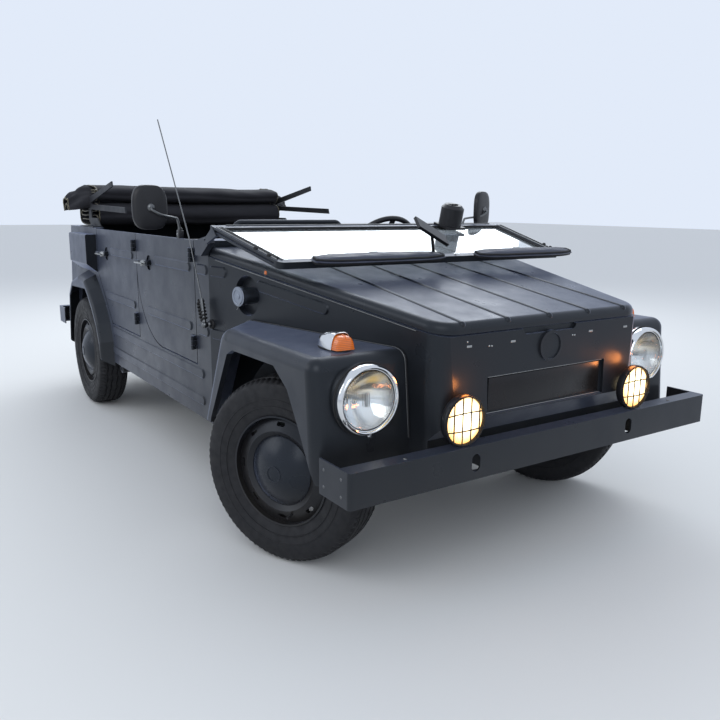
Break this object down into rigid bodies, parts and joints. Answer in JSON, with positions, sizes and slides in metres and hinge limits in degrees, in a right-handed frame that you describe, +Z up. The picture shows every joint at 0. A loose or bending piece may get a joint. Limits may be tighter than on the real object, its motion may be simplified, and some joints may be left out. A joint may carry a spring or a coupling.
{
  "type": "open four-door field car",
  "caption": "Open four-door field car with a folding windshield, folded canvas top, steered front wheels, hinged doors, bonnet and rear engine lid.",
  "frame": {"origin": "on the ground, at the middle of the overall length and width", "axes": "+X forward, +Y to the car's left, +Z up"},
  "size_m": [3.78, 1.7368, 1.5314],
  "materials": {
    "body_paint": "matte",
    "underbody": "matte",
    "chassis_paint": "satin",
    "wheel_paint": "satin",
    "cast_metal": "rough",
    "tyre": "matte",
    "canvas": "coated weave",
    "seat_vinyl": "grained vinyl",
    "black_plastic": "matte",
    "bright_metal": "polished",
    "silver_cap": "satin",
    "window_glass": "clear",
    "lamp_glass": "fluted",
    "fog_light": "lit, fluted",
    "amber_lens": "gloss"
  },
  "bodies": {
    "body": {"floor_pan": "underbody", "rear_tub": "underbody", "rear_panel": "body_paint", "nose": "body_paint", "cowl": "body_paint", "side_right": "body_paint", "side_left": "body_paint", "front_fenders": "body_paint", "rear_fenders": "body_paint", "front_bumper": "body_paint", "rear_bumper": "body_paint", "headlamps": "lamp_glass", "fog_lamps": "fog_light", "signal_lamps": "amber_lens", "windshield_brackets": "body_paint", "front_axle": "chassis_paint", "rear_axle": "chassis_paint", "engine_block": "cast_metal", "front_seats": "seat_vinyl", "seat_frames": "chassis_paint", "rear_seat": "seat_vinyl", "steering_column": "black_plastic", "floor_levers": "black_plastic", "antenna": "bright_metal", "fuel_filler": "silver_cap", "soft_top": "canvas", "top_bows": "chassis_paint", "intake_boxes": "body_paint", "mirror_left": "black_plastic"},
    "windshield": {"windshield_frame": "body_paint", "windshield_glass": "window_glass", "windshield_fittings": "black_plastic", "sun_visors": "seat_vinyl"},
    "bonnet": {"bonnet": "body_paint"},
    "engine_lid": {"engine_lid": "body_paint"},
    "steering_wheel": {"steering_wheel": "black_plastic"},
    "knuckle_right": {"knuckle_right": "chassis_paint"},
    "wheel_front_right": {"rim_front_right": "wheel_paint", "tyre_front_right": "tyre"},
    "wheel_rear_right": {"rim_rear_right": "wheel_paint", "tyre_rear_right": "tyre"},
    "front_door_right": {"front_door_right": "body_paint", "mirror_right": "black_plastic"},
    "rear_door_right": {"rear_door_right": "body_paint"},
    "knuckle_left": {"knuckle_left": "chassis_paint"},
    "wheel_front_left": {"rim_front_left": "wheel_paint", "tyre_front_left": "tyre"},
    "wheel_rear_left": {"rim_rear_left": "wheel_paint", "tyre_rear_left": "tyre"},
    "front_door_left": {"front_door_left": "body_paint"},
    "rear_door_left": {"rear_door_left": "body_paint"}
  },
  "joints": [
    {"name": "steer_right", "type": "hinge", "parent": "body", "child": "knuckle_right", "pos_m": [1.275, -0.59, 0.318], "axis": [0, 0, 1], "range_deg": [-53, 3]},
    {"name": "roll_front_right", "type": "hinge", "parent": "knuckle_right", "child": "wheel_front_right", "pos_m": [1.30374, -0.65163, 0.318], "axis": [-0.4226, 0.9063, 0], "continuous": true},
    {"name": "roll_rear_right", "type": "hinge", "parent": "body", "child": "wheel_rear_right", "pos_m": [-1.125, -0.655, 0.318], "axis": [0, 1, 0], "continuous": true},
    {"name": "open_front_door_right", "type": "hinge", "parent": "body", "child": "front_door_right", "pos_m": [0.528, -0.692, 0.8], "axis": [0, 0, 1], "range_deg": [0, 70]},
    {"name": "open_rear_door_right", "type": "hinge", "parent": "body", "child": "rear_door_right", "pos_m": [-0.24, -0.692, 0.8], "axis": [0, 0, 1], "range_deg": [0, 70]},
    {"name": "steer_left", "type": "hinge", "parent": "body", "child": "knuckle_left", "pos_m": [1.275, 0.59, 0.318], "axis": [0, 0, 1], "range_deg": [-53, 3]},
    {"name": "roll_front_left", "type": "hinge", "parent": "knuckle_left", "child": "wheel_front_left", "pos_m": [1.24626, 0.65163, 0.318], "axis": [-0.4226, 0.9063, 0], "continuous": true},
    {"name": "roll_rear_left", "type": "hinge", "parent": "body", "child": "wheel_rear_left", "pos_m": [-1.125, 0.655, 0.318], "axis": [0, 1, 0], "continuous": true},
    {"name": "open_front_door_left", "type": "hinge", "parent": "body", "child": "front_door_left", "pos_m": [0.528, 0.692, 0.8], "axis": [0, 0, -1], "range_deg": [0, 70]},
    {"name": "open_rear_door_left", "type": "hinge", "parent": "body", "child": "rear_door_left", "pos_m": [-0.24, 0.692, 0.8], "axis": [0, 0, -1], "range_deg": [0, 70]},
    {"name": "turn_steering_wheel", "type": "hinge", "parent": "body", "child": "steering_wheel", "pos_m": [0.36, 0.365, 0.975], "axis": [-0.8192, 0, 0.5736], "range_deg": [-795, 45]},
    {"name": "raise_windshield", "type": "hinge", "parent": "body", "child": "windshield", "pos_m": [0.758, 0, 1.057], "axis": [0, -1, 0], "range_deg": [0, 118]},
    {"name": "raise_bonnet", "type": "hinge", "parent": "body", "child": "bonnet", "pos_m": [0.7, 0, 1.023], "axis": [0, -1, 0], "range_deg": [0, 50]},
    {"name": "raise_engine_lid", "type": "hinge", "parent": "body", "child": "engine_lid", "pos_m": [-1.601, 0, 0.847], "axis": [0, 1, 0], "range_deg": [0, 60]}
  ],
  "couplings": [
    {"joint": "steer_left", "follows": "steer_right", "ratio": 1},
    {"joint": "turn_steering_wheel", "follows": "steer_right", "ratio": 15},
    {"joint": "raise_bonnet", "follows": "raise_windshield", "ratio": 0.42}
  ]
}
